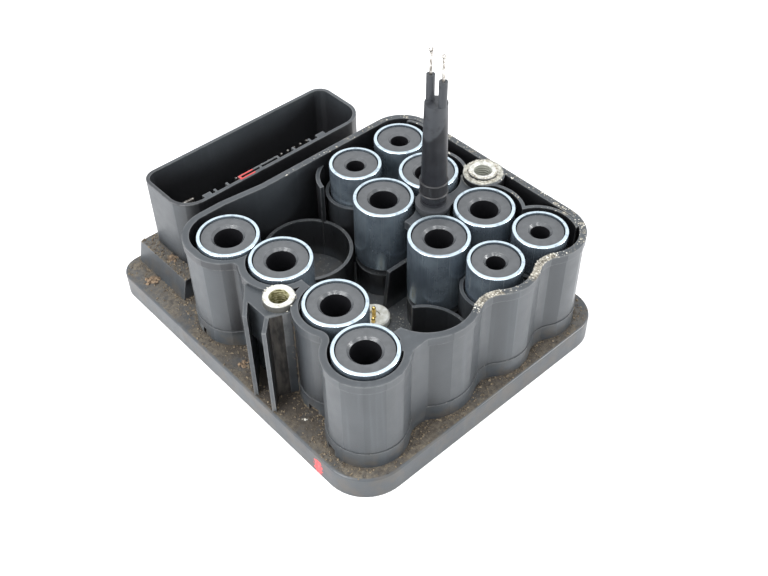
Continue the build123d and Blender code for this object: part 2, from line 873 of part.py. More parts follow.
with BuildPart() as connector_blades:
    with BuildSketch(Plane.XY.offset(board_top)):
        with Locations((blade_x, socket_centre_y)):
            with GridLocations(0, blade_pitch, 1, 2):
                Rectangle(blade_width, blade_thickness)
    extrude(amount=blade_top - board_top)
    chamfer(connector_blades.faces().group_by(Axis.Z)[-1].edges(), blade_thickness / 4)

save("connector_blades", connector_blades.part)
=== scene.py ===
import bmesh
import bpy
import random
from math import atan2, cos, pi, radians, sin
from mathutils import Matrix, Vector, noise
from mathutils.bvhtree import BVHTree


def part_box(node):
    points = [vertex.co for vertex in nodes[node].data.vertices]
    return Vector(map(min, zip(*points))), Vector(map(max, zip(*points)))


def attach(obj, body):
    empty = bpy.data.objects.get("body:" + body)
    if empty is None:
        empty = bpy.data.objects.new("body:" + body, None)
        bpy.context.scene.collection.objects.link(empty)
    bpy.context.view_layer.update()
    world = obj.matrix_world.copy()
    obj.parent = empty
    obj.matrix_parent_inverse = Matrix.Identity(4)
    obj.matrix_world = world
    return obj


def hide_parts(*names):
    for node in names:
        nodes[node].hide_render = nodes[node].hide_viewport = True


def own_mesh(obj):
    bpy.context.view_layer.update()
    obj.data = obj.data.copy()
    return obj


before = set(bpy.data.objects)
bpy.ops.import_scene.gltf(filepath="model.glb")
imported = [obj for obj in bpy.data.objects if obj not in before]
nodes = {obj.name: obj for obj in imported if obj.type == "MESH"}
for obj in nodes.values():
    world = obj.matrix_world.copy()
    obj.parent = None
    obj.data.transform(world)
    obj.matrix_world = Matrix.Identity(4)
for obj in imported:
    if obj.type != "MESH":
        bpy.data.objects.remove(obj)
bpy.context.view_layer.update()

# Camera: the module stands on a white table, and the camera looks down on its front left
# corner, at the angle and distance of the photograph.
camera_place = Vector((-0.1351, -0.1646, 0.22065))
camera_turn, camera_tilt, camera_roll = radians(-41.766), radians(45.046), radians(-0.851)
to_right = Vector((cos(camera_turn), sin(camera_turn), 0))
backwards = Vector((sin(camera_turn) * cos(camera_tilt), -cos(camera_turn) * cos(camera_tilt),
                    sin(camera_tilt)))
upwards = backwards.cross(to_right)
camera_x = cos(camera_roll) * to_right + sin(camera_roll) * upwards
camera_y = cos(camera_roll) * upwards - sin(camera_roll) * to_right
camera_data = bpy.data.cameras.new("camera")
camera_data.sensor_width = 36
camera_data.lens = 47.49
camera_data.clip_start = 0.01
camera = bpy.data.objects.new("camera", camera_data)
camera_axes = Matrix((camera_x, camera_y, backwards)).transposed().to_4x4()
camera.matrix_world = Matrix.Translation(camera_place) @ camera_axes
bpy.context.scene.collection.objects.link(camera)
bpy.context.scene.camera = camera
bpy.context.scene.view_settings.view_transform = "Standard"

# Floor: one pale sheet of board under the module, far larger than the view, with a faint
# grain of light and dark specks. It only belongs to the stage.
floor_mesh = bmesh.new()
bmesh.ops.create_grid(floor_mesh, x_segments=1, y_segments=1, size=3)
floor_data = bpy.data.meshes.new("floor")
floor_mesh.to_mesh(floor_data)
floor_mesh.free()
floor = bpy.data.objects.new("floor", floor_data)
bpy.context.scene.collection.objects.link(floor)
floor_paint = bpy.data.materials.new("floor_white")
floor_paint.use_nodes = True
floor_tree = floor_paint.node_tree
floor_shader = floor_tree.nodes["Principled BSDF"]
floor_shader.inputs["Roughness"].default_value = 0.8
floor_place = floor_tree.nodes.new("ShaderNodeTexCoord")
floor_grain = floor_tree.nodes.new("ShaderNodeTexNoise")
floor_grain.inputs["Scale"].default_value = 700
floor_tone = floor_tree.nodes.new("ShaderNodeMapRange")
floor_tone.inputs["To Min"].default_value, floor_tone.inputs["To Max"].default_value = 0.70, 0.93
floor_tree.links.new(floor_place.outputs["Object"], floor_grain.inputs["Vector"])
floor_tree.links.new(floor_grain.outputs[0], floor_tone.inputs["Value"])
floor_tree.links.new(floor_tone.outputs[0], floor_shader.inputs["Base Color"])
floor_data.materials.append(floor_paint)

# Light: a bright even room, soft lamps left, right and above, and three small lamps near
# the camera that leave the short glints on the edges of the coil bores.
world = bpy.data.worlds.new("room")
world.use_nodes = True
world.node_tree.nodes["Background"].inputs["Color"].default_value = (0.97, 0.98, 1.0, 1)
world.node_tree.nodes["Background"].inputs["Strength"].default_value = 1.34
bpy.context.scene.world = world
glint_reach, glint_spread = 0.42, radians(34)
glint_places = [backwards * glint_reach]
for side in (-1, 1):
    aside = backwards.copy()
    aside.rotate(Matrix.Rotation(side * glint_spread, 3, "Z"))
    glint_places.append(aside * glint_reach)
# name, place, size in metres, power in watts
lamps = [("lamp_left", (-0.46, -0.02, 0.20), 0.26, 2.6), ("lamp_right", (0.36, -0.38, 0.16), 0.16, 2.6),
         ("lamp_top", (-0.05, 0.10, 0.60), 0.4, 2.4)]
lamps += [(f"lamp_glint_{i}", tuple(place), 0.025, 0.2) for i, place in enumerate(glint_places)]
lamp_target = Vector((0, -0.01, 0.02))
for lamp_name, place, lamp_size, power in lamps:
    lamp_data = bpy.data.lights.new(lamp_name, "AREA")
    lamp_data.size = lamp_size
    lamp_data.energy = power
    lamp = bpy.data.objects.new(lamp_name, lamp_data)
    lamp.location = place
    lamp.rotation_euler = (Vector(place) - lamp_target).to_track_quat("Z", "Y").to_euler()
    bpy.context.scene.collection.objects.link(lamp)


# Housing: one moulding in charcoal glass-filled plastic with a fine grain. Sand lies on the
# base plate, the foot of the walls is grimy and the rim wears a chalky crust on the right.
def new_material(name, colour, roughness, metallic=0.0):
    material = bpy.data.materials.new(name)
    material.use_nodes = True
    shader = material.node_tree.nodes["Principled BSDF"]
    shader.inputs["Base Color"].default_value = (*colour, 1)
    shader.inputs["Roughness"].default_value = roughness
    shader.inputs["Metallic"].default_value = metallic
    return material, material.node_tree, shader


def add_node(tree, kind, inputs=(), **settings):
    node = tree.nodes.new(kind)
    for key, value in settings.items():
        setattr(node, key, value)
    for key, value in dict(inputs).items():
        if isinstance(value, bpy.types.NodeSocket):
            tree.links.new(value, node.inputs[key])
        else:
            node.inputs[key].default_value = value
    return node


def place_axes(tree):
    """The X, Y and Z of a point on the piece, in metres."""
    coordinates = add_node(tree, "ShaderNodeTexCoord").outputs["Object"]
    return add_node(tree, "ShaderNodeSeparateXYZ", {0: coordinates}).outputs


def normal_axes(tree):
    """The X, Y and Z of the direction in which the surface looks."""
    normal = add_node(tree, "ShaderNodeNewGeometry").outputs["Normal"]
    return add_node(tree, "ShaderNodeSeparateXYZ", {0: normal}).outputs


def speckle(tree, scale, stretch=(1, 1, 1), detail=3.0, rough=0.55):
    """Noise from 0 to 1 whose spots are about 1/scale metres across."""
    coordinates = add_node(tree, "ShaderNodeTexCoord").outputs["Object"]
    mapping = add_node(tree, "ShaderNodeMapping", {"Vector": coordinates, "Scale": stretch})
    return add_node(tree, "ShaderNodeTexNoise", {"Vector": mapping.outputs[0], "Scale": scale,
                                                 "Detail": detail, "Roughness": rough}).outputs[0]


def measure(tree, operation, first, second=0.0, clamp=False):
    """Arithmetic on lengths and angles."""
    return add_node(tree, "ShaderNodeMath", {0: first, 1: second}, operation=operation,
                    use_clamp=clamp).outputs[0]


def mask_sum(tree, first, second):
    return measure(tree, "ADD", first, second, True)


def mask_less(tree, first, second):
    return measure(tree, "SUBTRACT", first, second, True)


def either(tree, first, second):
    return measure(tree, "MAXIMUM", first, second, True)


def all_of(tree, *masks):
    """The product of masks and of plain strengths."""
    result = masks[0]
    for mask in masks[1:]:
        result = measure(tree, "MULTIPLY", result, mask, True)
    return result


def rise(tree, value, low, high):
    """0 at low, 1 at high, smooth between them; low may be the larger number."""
    return add_node(tree, "ShaderNodeMapRange", {"Value": value, "From Min": low, "From Max": high},
                    interpolation_type="SMOOTHSTEP").outputs[0]


def between(tree, value, low, high, soft):
    return all_of(tree, rise(tree, value, low - soft, low + soft),
                  rise(tree, value, high + soft, high - soft))


def radius_from(tree, across, along):
    """Distance in plan from the point at which both measures are 0."""
    offset = add_node(tree, "ShaderNodeCombineXYZ", {0: across, 1: along}).outputs[0]
    return add_node(tree, "ShaderNodeVectorMath", {0: offset}, operation="LENGTH").outputs["Value"]


def blend_colour(tree, factor, first, second):
    colour = {6: first if isinstance(first, bpy.types.NodeSocket) else (*first, 1),
              7: second if isinstance(second, bpy.types.NodeSocket) else (*second, 1)}
    return add_node(tree, "ShaderNodeMix", {0: factor, **colour}, data_type="RGBA").outputs[2]


def mottled(tree, scale, low, high, dark, light, detail=3.0, rough=0.55, stretch=(1, 1, 1)):
    """Two tones in irregular spots of about 1/scale metres."""
    spots = rise(tree, speckle(tree, scale, stretch, detail, rough), low, high)
    return blend_colour(tree, spots, dark, light)


def add_bump(tree, shader, height, strength, distance):
    bump = add_node(tree, "ShaderNodeBump", {"Height": height, "Strength": strength, "Distance": distance})
    tree.links.new(bump.outputs[0], shader.inputs["Normal"])
    return bump


def smooth(piece, angle=28):
    """Rounds the shading of curved faces and keeps sharp edges sharp."""
    for face in piece.data.polygons:
        face.use_smooth = True
    weld = piece.modifiers.new("weld", "WELD")
    weld.merge_threshold = 0.000002
    split = piece.modifiers.new("edges", "EDGE_SPLIT")
    split.split_angle = radians(angle)


def finish_node(name, material):
    piece = nodes[name]
    piece.data.materials.clear()
    piece.data.materials.append(material)
    smooth(piece)


def centre_of(name):
    return [(low + high) / 2 for low, high in zip(*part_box(name))]


charcoal, tree, shader = new_material("charcoal_plastic", (0.05, 0.053, 0.058), 0.45)
x, y, z = place_axes(tree)
facing = normal_axes(tree)[2]
upward, level = rise(tree, facing, 0.5, 0.85), rise(tree, facing, 0.95, 0.99)
upright = rise(tree, facing, 0.5, 0.2)
open_air = add_node(tree, "ShaderNodeAmbientOcclusion", {"Distance": 0.022}, samples=6).outputs["AO"]
colour = mottled(tree, 55, 0.3, 0.7, (0.0250, 0.0293, 0.0338), (0.0340, 0.0394, 0.0446))
flow_marks = rise(tree, speckle(tree, 1.0, (420, 420, 14), 2.0), 0.55, 0.8)
colour = blend_colour(tree, flow_marks, colour, (0.0402, 0.0465, 0.0524))
# painted shade: the band below the rim at the back left column is painted darker, as the shade of a bevel
# there
rim_bevel_painted_shade = all_of(tree, between(tree, z, 0.0368, 0.0391, 0.0002), rise(tree, x, -0.026, -0.028),
                  rise(tree, y, -0.004, -0.002))
colour = blend_colour(tree, all_of(tree, rim_bevel_painted_shade, 0.85), colour, (0.013, 0.0145, 0.0175))
# grime round the foot of the walls
foot = all_of(tree, rise(tree, z, 0.0165, 0.0078), rise(tree, speckle(tree, 240, detail=5.0), 0.42, 0.66))
colour = blend_colour(tree, all_of(tree, foot, 0.6), colour, (0.055, 0.047, 0.038))
# dust on the inner floor and on the tops of the seats
inner_floor = all_of(tree, between(tree, z, 0.0094, 0.0300, 0.0003), upward)
dust = all_of(tree, inner_floor, rise(tree, speckle(tree, 2100, detail=2.0), 0.66, 0.71))
colour = blend_colour(tree, all_of(tree, inner_floor, 0.35), colour, (0.08, 0.083, 0.085))
colour = blend_colour(tree, dust, colour, (0.30, 0.30, 0.28))
# sand on the base plate and on the socket block, thicker beside the walls, where it is also painted darker
# as shade
plate_top = all_of(tree, between(tree, z, 0.0066, 0.0090, 0.0002), level)
in_socket = all_of(tree, between(tree, x, -0.0312, 0.0308, 0.0001), between(tree, y, 0.0337, 0.0522, 0.0001))
block_top = all_of(tree, between(tree, z, 0.0138, 0.0152, 0.0002), level, mask_less(tree, 1.0, in_socket))
sand_and_painted_shade_tone = mottled(tree, 760, 0.34, 0.68, (0.030, 0.024, 0.018), (0.165, 0.138, 0.098), 8.0, 0.8)
# painted shade: the sand is darkened where the walls close it in
sand_and_painted_shade_tone = blend_colour(tree, rise(tree, open_air, 0.62, 0.42), sand_and_painted_shade_tone, (0.026, 0.019, 0.013))
drifted = all_of(tree, rise(tree, open_air, 0.95, 0.55), 0.22)
sand_cover = rise(tree, mask_sum(tree, speckle(tree, 110, detail=7.0, rough=0.65), drifted), 0.50, 0.70)
sand = all_of(tree, mask_sum(tree, plate_top, all_of(tree, block_top, 0.8)), sand_cover)
colour = blend_colour(tree, all_of(tree, sand, 0.85), colour, sand_and_painted_shade_tone)
# chalky crust on the rim, mostly along the right and front right, thickest at the two necks
rim = all_of(tree, rise(tree, z, 0.0386, 0.0391), rise(tree, facing, 0.1, 0.5))
front_rim = all_of(tree, rise(tree, y, -0.0440, -0.0470), rise(tree, x, -0.004, 0.0))
necks = either(tree, between(tree, x, 0.0155, 0.0262, 0.0012), between(tree, x, -0.003, 0.0062, 0.0012))
front_rim = all_of(tree, front_rim, mask_sum(tree, all_of(tree, necks, 0.6), 0.4))
back_rim = all_of(tree, rise(tree, y, 0.019, 0.022), rise(tree, x, 0.0, 0.012))
side_rim = either(tree, rise(tree, x, 0.034, 0.041), back_rim)
crusted = either(tree, front_rim, all_of(tree, side_rim, 0.38))
crust = mask_sum(tree, speckle(tree, 420, detail=6.0, rough=0.7), all_of(tree, crusted, 0.42))
crust = all_of(tree, rim, rise(tree, crusted, 0.0, 0.1), rise(tree, crust, 0.68, 0.84))
crust_tone = mottled(tree, 900, 0.4, 0.6, (0.075, 0.066, 0.050), (0.27, 0.25, 0.205), 4.0)
colour = blend_colour(tree, all_of(tree, crust, 0.9), colour, crust_tone)
# white corrosion has spread over the right boss round its bush
boss_x, boss_y, _ = centre_of("bush_right")
from_bush = radius_from(tree, measure(tree, "SUBTRACT", x, boss_x), measure(tree, "SUBTRACT", y, boss_y))
ragged = all_of(tree, speckle(tree, 380, detail=6.0, rough=0.7), 0.75)
bloom = rise(tree, mask_less(tree, rise(tree, from_bush, 0.0076, 0.0042), ragged), 0.05, 0.32)
bloom = all_of(tree, bloom, rise(tree, z, 0.0372, 0.0378))
bloom_tone = mottled(tree, 1100, 0.38, 0.62, (0.20, 0.195, 0.16), (0.42, 0.42, 0.38), 4.0)
colour = blend_colour(tree, bloom, colour, bloom_tone)
# red paint on one end of the latch frame
paint = all_of(tree, between(tree, x, -0.0136, -0.0084, 0.0003), between(tree, y, 0.0322, 0.0345, 0.0001),
               rise(tree, z, 0.0330, 0.0340))
colour = blend_colour(tree, paint, colour, (0.42, 0.012, 0.01))
# red dab with ragged ends on the left edge of the base plate
dab_along = measure(tree, "ADD", y, all_of(tree, speckle(tree, 900, detail=4.0), 0.004))
dab = all_of(tree, rise(tree, x, -0.0462, -0.0464), between(tree, dab_along, -0.0384, -0.0358, 0.0003),
             rise(tree, z, 0.0060, 0.0050), rise(tree, speckle(tree, 420, detail=4.0), 0.36, 0.44))
colour = blend_colour(tree, dab, colour, (0.62, 0.03, 0.035))
# painted shade: the plastic is painted near black in the deep places between the coils and in the socket,
# where little light reaches
beside_ribs = all_of(tree, rise(tree, x, -0.0364, -0.0368), between(tree, y, -0.0204, -0.0050, 0.0004))
above_foot = mask_less(tree, rise(tree, z, 0.0105, 0.0140), all_of(tree, beside_ribs, 0.7))
deep_painted_shade = all_of(tree, rise(tree, open_air, 0.88, 0.50), upright, above_foot)
colour = blend_colour(tree, deep_painted_shade, colour, (0.007, 0.0072, 0.0084))
# the upright faces in the pocket of the left boss beside its front rib are darkened
pocket = all_of(tree, between(tree, x, -0.0440, -0.0384, 0.0002), between(tree, y, -0.0204, -0.0160, 0.0003),
                rise(tree, z, 0.0380, 0.0374), upright)
colour = blend_colour(tree, all_of(tree, pocket, 0.85), colour, (0.015, 0.0135, 0.0125))
# painted highlight: convex edges are painted a little lighter, as the light caught by slightly rounded
# edges, with some wear
edge_depth = add_node(tree, "ShaderNodeAmbientOcclusion", {"Distance": 0.00055}, samples=4,
                      inside=True).outputs["AO"]
edge_highlight_and_wear = all_of(tree, rise(tree, edge_depth, 0.9, 0.5),
                   rise(tree, speckle(tree, 500, detail=4.0), 0.30, 0.55))
colour = blend_colour(tree, all_of(tree, edge_highlight_and_wear, 0.55), colour, (0.115, 0.12, 0.122))
tree.links.new(colour, shader.inputs["Base Color"])
# sand and crust are matt and rough, the bare plastic is half matt with a fine grain
coarse = either(tree, sand, crust)
matt = mask_sum(tree, all_of(tree, speckle(tree, 320), 0.18), 0.30)
tree.links.new(mask_sum(tree, matt, all_of(tree, coarse, 0.5)), shader.inputs["Roughness"])
relief = mask_sum(tree, all_of(tree, speckle(tree, 3200, detail=2.0), 0.25),
                  all_of(tree, coarse, speckle(tree, 1300, detail=5.0), 0.9))
bump = add_bump(tree, shader, relief, 0.55, 0.00018)
# the columns are moulded with faint flats, so they catch the light in upright strips
flat_step = radians(30)
true_normal = add_node(tree, "ShaderNodeNewGeometry").outputs["Normal"]
normal_x, normal_y, _ = normal_axes(tree)
heading = measure(tree, "ARCTAN2", normal_y, normal_x)
heading = measure(tree, "SNAP", measure(tree, "ADD", heading, flat_step / 2), flat_step)
flat_normal = add_node(tree, "ShaderNodeCombineXYZ", {0: measure(tree, "COSINE", heading),
                                                      1: measure(tree, "SINE", heading)}).outputs[0]
column_wall = all_of(tree, upright, rise(tree, facing, -0.5, -0.2), rise(tree, z, 0.0080, 0.0086))
flats = add_node(tree, "ShaderNodeMix", {0: all_of(tree, column_wall, 0.55), 4: true_normal, 5: flat_normal},
                 data_type="VECTOR").outputs[1]
tree.links.new(flats, bump.inputs["Normal"])
finish_node("housing", charcoal)

# Bottom cover: a flat moulding in black plastic that closes the base plate from below. It is
# pressed into the plate's recess and carries the board on its pads.
cover_black, tree, shader = new_material("cover_plastic", (0.03, 0.03, 0.033), 0.5)
cover_tone = mottled(tree, 70, 0.35, 0.65, (0.024, 0.025, 0.028), (0.038, 0.039, 0.043))
tree.links.new(cover_tone, shader.inputs["Base Color"])
add_bump(tree, shader, speckle(tree, 2600), 0.3, 0.0001)
finish_node("bottom_cover", cover_black)

# Circuit board: woven glass under green lacquer, with two black resin chips and a row of
# capacitors in bare metal cases, all soldered on. It lies hidden above the bottom cover.
board_green, tree, shader = new_material("board_lacquer", (0.02, 0.10, 0.05), 0.35)
weave = speckle(tree, 1.0, (1600, 260, 260), 1.0)
lacquer_tone = blend_colour(tree, weave, (0.014, 0.075, 0.035), (0.03, 0.13, 0.065))
tree.links.new(lacquer_tone, shader.inputs["Base Color"])
add_bump(tree, shader, weave, 0.2, 0.00005)
finish_node("circuit_board", board_green)
chip_black, tree, shader = new_material("chip_resin", (0.02, 0.02, 0.022), 0.4)
add_bump(tree, shader, speckle(tree, 3000), 0.25, 0.00005)
finish_node("microcontroller", chip_black)
finish_node("valve_driver", chip_black)
case_tin, tree, shader = new_material("capacitor_case", (0.7, 0.7, 0.71), 0.3, 1.0)
add_bump(tree, shader, speckle(tree, 900), 0.1, 0.00005)
finish_node("board_capacitors", case_tin)


# Valve coils: each has a drawn steel can, plated blue grey, whose cut edge shines as a
# bright ring, a grey glass-filled bobbin with a bevelled bore, and lacquered copper wire.
def ripple(tree, height, waves):
    """A sine along the height, with so many radians to the metre."""
    return measure(tree, "SINE", measure(tree, "MULTIPLY", height, waves))


can_steel, tree, shader = new_material("can_plating", (0.12, 0.15, 0.18), 0.22, 0.72)
x, y, z = place_axes(tree)
plating = mottled(tree, 140, 0.35, 0.68, (0.120, 0.150, 0.185), (0.200, 0.245, 0.285), 4.0)
drawn_marks = speckle(tree, 1.0, (2600, 2600, 40), 2.0)
plating = blend_colour(tree, rise(tree, drawn_marks, 0.55, 0.8), plating, (0.24, 0.28, 0.31))
cut_edge = all_of(tree, rise(tree, z, 0.03985, 0.04005), rise(tree, normal_axes(tree)[2], 0.35, 0.75))
bare_steel = mottled(tree, 700, 0.32, 0.5, (0.34, 0.41, 0.46), (0.50, 0.59, 0.65), 5.0)
tree.links.new(blend_colour(tree, cut_edge, plating, bare_steel), shader.inputs["Base Color"])
tree.links.new(mask_sum(tree, all_of(tree, speckle(tree, 500), 0.16), 0.15), shader.inputs["Roughness"])
add_bump(tree, shader, drawn_marks, 0.12, 0.00006)
bobbin_grey, tree, shader = new_material("bobbin_plastic", (0.07, 0.073, 0.078), 0.5)
x, y, z = place_axes(tree)
face_tone = mottled(tree, 600, 0.3, 0.7, (0.049, 0.0525, 0.0560), (0.062, 0.066, 0.0705), 5.0)
glass_specks = rise(tree, speckle(tree, 3500, detail=2.0), 0.68, 0.76)
face_tone = blend_colour(tree, glass_specks, face_tone, (0.11, 0.112, 0.114))
# painted shade: below its bevel the bore is painted near black, as the shade deep inside it
face_tone = blend_colour(tree, rise(tree, z, 0.03905, 0.0388), face_tone, (0.020, 0.020, 0.023))
tree.links.new(face_tone, shader.inputs["Base Color"])
bore_painted_shade = rise(tree, z, 0.03905, 0.0389)
bevel = between(tree, z, 0.0389, 0.0397, 0.0001)
satin = mask_less(tree, mask_sum(tree, all_of(tree, bore_painted_shade, 0.45), 0.5), all_of(tree, bevel, 0.26))
tree.links.new(satin, shader.inputs["Roughness"])
# painted shade: the bore is made metallic so that its dark colour shows no sheen
tree.links.new(bore_painted_shade, shader.inputs["Metallic"])
add_bump(tree, shader, speckle(tree, 2400, detail=3.0), 0.35, 0.00008)
copper_wire, tree, shader = new_material("lacquered_copper", (0.72, 0.32, 0.15), 0.35, 1.0)
add_bump(tree, shader, ripple(tree, place_axes(tree)[2], 14000.0), 0.5, 0.0001)
coil_names = [f"{number:02d}" for number in range(1, 13)]
for name in coil_names:
    finish_node(f"coil_can_{name}", can_steel)
    finish_node(f"coil_bobbin_{name}", bobbin_grey)
    finish_node(f"coil_winding_{name}", copper_wire)


# Cushions: black rubber rings, oval in section, each moulded in one piece. They lie loose on the seats under
# the coils.
def finish_piece(name, mesh, material, smooth_angle=None):
    data = bpy.data.meshes.new(name)
    mesh.to_mesh(data)
    mesh.free()
    piece = bpy.data.objects.new(name, data)
    bpy.context.scene.collection.objects.link(piece)
    data.materials.append(material)
    if smooth_angle:
        smooth(piece, smooth_angle)
    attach(piece, "housing")
    return piece


cushion_rubber, tree, shader = new_material("cushion_rubber", (0.02, 0.02, 0.02), 0.75)
add_bump(tree, shader, speckle(tree, 1500), 0.3, 0.0001)
ring_inset, ring_width, coil_travel = 0.0014, 0.0020, 0.0008
seat, cushion_top = (corner[2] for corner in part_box("coil_cushions"))
thick = cushion_top - seat
for name in coil_names:
    can_low, can_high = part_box(f"coil_can_{name}")
    centre = Vector((*centre_of(f"coil_can_{name}")[:2], seat + thick / 2))
    ring_radius = (can_high[0] - can_low[0]) / 2 - ring_inset - ring_width / 2
    cushion = bmesh.new()
    tube = Matrix.Translation((ring_radius, 0, 0)) @ Matrix.Rotation(pi / 2, 4, "X")
    section = bmesh.ops.create_circle(cushion, cap_ends=False, segments=12, radius=thick / 2, matrix=tube)
    bmesh.ops.scale(cushion, verts=section["verts"], vec=(ring_width / thick, 1, 1),
                    space=Matrix.Translation((-ring_radius, 0, 0)))
    bmesh.ops.spin(cushion, geom=cushion.edges[:], cent=(0, 0, 0), axis=(0, 0, 1), angle=2 * pi,
                   steps=48, use_merge=True)
    bmesh.ops.recalc_face_normals(cushion, faces=cushion.faces[:])
    bmesh.ops.translate(cushion, verts=cushion.verts[:], vec=centre)
    ring = finish_piece(f"cushion_{name}", cushion, cushion_rubber, 40)
    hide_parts("coil_cushions")
    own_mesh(ring)

# Fixing bushes: turned metal sleeves, moulded into the two bosses. They are white and yellow
# with corrosion, with turned rings in the hole and a crumbly crust round the rim.
bush_metal, tree, shader = new_material("corroded_bush", (0.7, 0.69, 0.62), 0.55, 0.25)
x, y, z = place_axes(tree)
left_bush, right_bush = centre_of("bush_left"), centre_of("bush_right")
half_apart = (right_bush[0] - left_bush[0]) / 2
from_middle = measure(tree, "ABSOLUTE", measure(tree, "SUBTRACT", x, (left_bush[0] + right_bush[0]) / 2))
from_axis = radius_from(tree, measure(tree, "SUBTRACT", from_middle, half_apart),
                        measure(tree, "SUBTRACT", y, left_bush[1]))
inside_hole = all_of(tree, rise(tree, z, 0.0401, 0.0396), rise(tree, from_axis, 0.0029, 0.0027))
sleeve_side_painted_shade = all_of(tree, rise(tree, from_axis, 0.0029, 0.0031), rise(tree, z, 0.0402, 0.0399))
chalk = mottled(tree, 650, 0.36, 0.62, (0.33, 0.33, 0.29), (0.56, 0.565, 0.545), 6.0, 0.7)
# painted shade: the outer side of the sleeve, below its top, is painted dark as shade
chalk = blend_colour(tree, sleeve_side_painted_shade, chalk, (0.055, 0.055, 0.05))
# the left hole has gone yellow green, the right one is pale
hole_tone = mottled(tree, 1200, 0.4, 0.62, (0.16, 0.15, 0.06), (0.42, 0.40, 0.24), 4.0)
hole_tone = blend_colour(tree, rise(tree, x, -0.001, 0.001), hole_tone, (0.40, 0.41, 0.36))
tree.links.new(blend_colour(tree, inside_hole, chalk, hole_tone), shader.inputs["Base Color"])
turned_rings = all_of(tree, rise(tree, ripple(tree, z, 7800.0), -0.5, 0.8), inside_hole)
pitted = all_of(tree, speckle(tree, 1800, detail=5.0), 0.8)
add_bump(tree, shader, measure(tree, "ADD", turned_rings, pitted), 0.7, 0.0003)
finish_node("bush_left", bush_metal)
finish_node("bush_right", bush_metal)

# Motor stalk: black moulded rod with a rubber seal pushed over it, and two round tinned pins
# whose heads stand out of its sleeves. The pins in the plug socket are tinned alike.
stalk_black, tree, shader = new_material("stalk_plastic", (0.012, 0.0125, 0.015), 0.42)
shader.inputs["Specular IOR Level"].default_value = 0.36
x, y, z = place_axes(tree)
stalk_tone = mottled(tree, 180, 0.35, 0.7, (0.0055, 0.006, 0.008), (0.0115, 0.0122, 0.0152))
# its upper part is dull and dusty, down to a slanted edge
slant = measure(tree, "SUBTRACT", z, measure(tree, "MULTIPLY", x, 1.5))
dusty = all_of(tree, rise(tree, slant, 0.0408, 0.0420), rise(tree, speckle(tree, 400, detail=4.0), 0.2, 0.5))
stalk_tone = blend_colour(tree, all_of(tree, dusty, 0.85), stalk_tone, (0.034, 0.037, 0.042))
flange = rise(tree, z, 0.0412, 0.0404)
tree.links.new(blend_colour(tree, flange, stalk_tone, (0.035, 0.037, 0.041)), shader.inputs["Base Color"])
add_bump(tree, shader, speckle(tree, 2200), 0.3, 0.0001)
finish_node("motor_stalk", stalk_black)
seal_rubber, tree, shader = new_material("seal_rubber", (0.005, 0.005, 0.0065), 0.5)
add_bump(tree, shader, speckle(tree, 1500), 0.3, 0.0001)
finish_node("stalk_seal", seal_rubber)
tinned, tree, shader = new_material("tinned_pin", (0.45, 0.43, 0.40), 0.3, 1.0)
tin_tone = mottled(tree, 1500, 0.4, 0.6, (0.22, 0.20, 0.18), (0.66, 0.64, 0.60), 4.0)
tree.links.new(tin_tone, shader.inputs["Base Color"])
for name in ("motor_pin_back", "motor_pin_front", "connector_pins", "connector_blades"):
    finish_node(name, tinned)

# Sensor contacts: an off-white moulded carrier clipped to the inner floor, with two gold
# plated pins that stand on small springs inside it.
carrier_white, tree, shader = new_material("carrier_plastic", (0.62, 0.63, 0.60), 0.5)
carrier_tone = mottled(tree, 500, 0.35, 0.7, (0.42, 0.42, 0.37), (0.62, 0.63, 0.61), 4.0)
tree.links.new(carrier_tone, shader.inputs["Base Color"])
add_bump(tree, shader, speckle(tree, 1600), 0.3, 0.0001)
finish_node("sensor_carrier", carrier_white)
gold, tree, shader = new_material("gold_plating", (0.85, 0.60, 0.20), 0.28, 1.0)
add_bump(tree, shader, speckle(tree, 1800), 0.15, 0.00005)
finish_node("sensor_contact_tall", gold)
finish_node("sensor_contact_front", gold)


# Sand and grit: loose grains of road dirt lie on the base plate and on the socket block,
# thickest against the feet of the columns. They rest on what a ray from above meets.
housing_faces = nodes["housing"].data
housing_tree = BVHTree.FromPolygons([vertex.co for vertex in housing_faces.vertices],
                                    [list(face.vertices) for face in housing_faces.polygons])


def surface_below(x, y):
    """Height of the housing under a point seen from above, or None beside it."""
    above_all = 0.06
    hit = housing_tree.ray_cast(Vector((x, y, above_all)), Vector((0, 0, -1)))
    return hit[0].z if hit[0] else None


def wall_distance(x, y, reach=0.006):
    """Distance on the plate to the nearest tall wall, up to the reach."""
    above_plate = 0.014
    hit = housing_tree.find_nearest(Vector((x, y, above_plate)), reach)
    return hit[3] if hit[0] else reach


def grain(mesh, place, size, dice, flat=0.6):
    """One angular grain, pressed flat and half sunk."""
    scale = Matrix.Diagonal((size * dice.uniform(0.7, 1.3), size * dice.uniform(0.7, 1.3),
                             size * flat * dice.uniform(0.7, 1.2), 1))
    turn = Matrix.Rotation(dice.uniform(0, 6.28), 4, "Z") @ Matrix.Rotation(dice.uniform(-0.5, 0.5), 4, "X")
    lump = bmesh.ops.create_icosphere(mesh, subdivisions=1, radius=0.5,
                                      matrix=Matrix.Translation(place) @ turn @ scale)
    for vertex in lump["verts"]:
        vertex.co += (vertex.co - Vector(place)) * dice.uniform(-0.3, 0.3)


def scatter(places, dice, flat=0.6):
    """Grains on a list of places and sizes, in handfuls because a small mesh grows faster."""
    heap, handful_size = bmesh.new(), 40
    for first in range(0, len(places), handful_size):
        handful = bmesh.new()
        for place, size in places[first:first + handful_size]:
            grain(handful, place, size, dice, flat)
        poured = bpy.data.meshes.new("handful")
        handful.to_mesh(poured)
        handful.free()
        heap.from_mesh(poured)
        bpy.data.meshes.remove(poured)
    return heap


